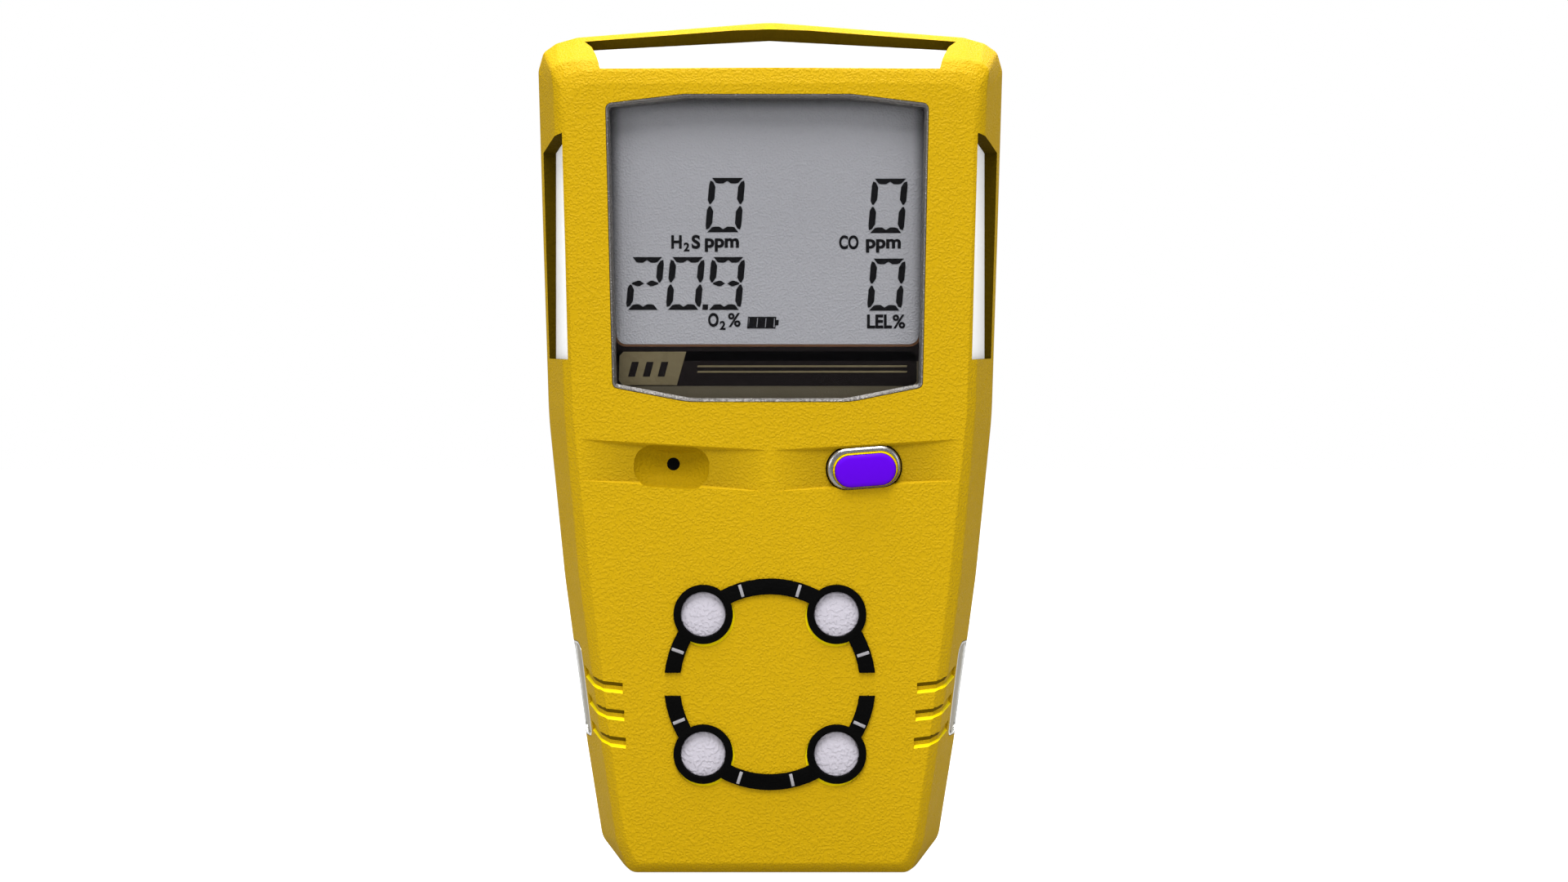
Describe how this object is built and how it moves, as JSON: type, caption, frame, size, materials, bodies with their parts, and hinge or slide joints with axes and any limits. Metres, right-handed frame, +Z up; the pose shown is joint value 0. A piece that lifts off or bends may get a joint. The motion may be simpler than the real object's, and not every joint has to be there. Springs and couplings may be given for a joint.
{
  "type": "portable gas detector",
  "caption": "Clip-on portable multi-gas detector in a yellow housing with a display window, light bars, a push button, filtered gas ports and a rear spring clip.",
  "frame": {"origin": "middle of the flat bottom face on which the housing stands", "axes": "+Z up along the housing, -Y out of the display face, +X to the right seen from the front"},
  "size_m": [0.0612, 0.0394, 0.112],
  "materials": {
    "yellow_plastic": "fine moulded texture, satin",
    "black_rubber": "matt",
    "steel": "satin",
    "brass": "bright",
    "light_diffuser": "milky, translucent",
    "rim_metal": "satin metallic",
    "clear_window": "clear, glossy",
    "nameplate_print": "printed film",
    "lcd_surface": "smooth, satin",
    "black_plastic": "satin",
    "chrome_trim": "polished",
    "purple_plastic": "smooth, glossy",
    "cream_plastic": "satin",
    "circuit_board": "solder mask",
    "heavy_metal": "machined",
    "battery_wrap": "shrink wrap",
    "filter_felt": "fine felt",
    "sensor_can": "satin",
    "flex_film": "thin film",
    "satin_plate": "satin with a polished rim",
    "infrared_plastic": "dark, glossy",
    "nickel_steel": "nickel plated"
  },
  "bodies": {
    "housing": {"front_shell": "yellow_plastic", "rear_shell": "yellow_plastic", "housing_seal": "black_rubber", "shell_screws": "steel", "threaded_inserts": "brass", "top_light_bar": "light_diffuser", "left_light_bar": "light_diffuser", "right_light_bar": "light_diffuser", "window_bezel": "rim_metal", "window_lens": "clear_window", "nameplate": "nameplate_print", "lcd_glass": "lcd_surface", "lcd_frame": "black_plastic", "lcd_backlight": "light_diffuser", "zebra_strip": "black_rubber", "button_bezel": "chrome_trim", "button_boot": "black_rubber", "button_switch": "black_plastic", "sound_membrane": "black_rubber", "buzzer_gasket": "black_rubber", "buzzer": "black_plastic", "main_board": "circuit_board", "board_screws": "steel", "alarm_leds": "cream_plastic", "motor_boot": "black_rubber", "vibration_motor": "steel", "battery_pack": "battery_wrap", "battery_pad": "black_rubber", "battery_connector": "cream_plastic", "sensor_gasket_upper": "black_rubber", "sensor_gasket_lower": "black_rubber", "port_filter_1": "filter_felt", "port_filter_2": "filter_felt", "port_filter_3": "filter_felt", "port_filter_4": "filter_felt", "gas_sensor_1": "sensor_can", "gas_sensor_2": "sensor_can", "gas_sensor_3": "sensor_can", "gas_sensor_4": "sensor_can", "sensor_tray": "black_plastic", "sensor_pins": "brass", "sensor_board": "circuit_board", "sensor_flex": "flex_film", "left_latch_plate": "satin_plate", "right_latch_plate": "satin_plate", "charge_socket": "black_plastic", "charge_contacts": "brass", "infrared_window": "infrared_plastic", "clip_base": "black_plastic", "clip_pin": "steel", "clip_spring": "steel", "clip_screws": "steel"},
    "button": {"button_cap": "purple_plastic", "switch_plunger": "cream_plastic"},
    "clip_arm": {"clip_lever": "nickel_steel"},
    "vibrator": {"motor_shaft": "steel", "vibration_weight": "heavy_metal"}
  },
  "joints": [
    {"name": "button_press", "type": "slide", "parent": "housing", "child": "button", "axis": [0, 1, 0], "range_m": [0, 0.0006], "stiffness_N_per_m": 3000, "springref_m": -0.0003},
    {"name": "clip_open", "type": "hinge", "parent": "housing", "child": "clip_arm", "pos_m": [0, 0.0208, 0.08], "axis": [1, 0, 0], "range_deg": [0, 22], "stiffness_Nm_per_rad": 0.35, "springref_deg": -28.65},
    {"name": "vibration_spin", "type": "hinge", "parent": "housing", "child": "vibrator", "pos_m": [0.004, 0.0015, 0.1005], "axis": [1, 0, 0], "continuous": true}
  ]
}
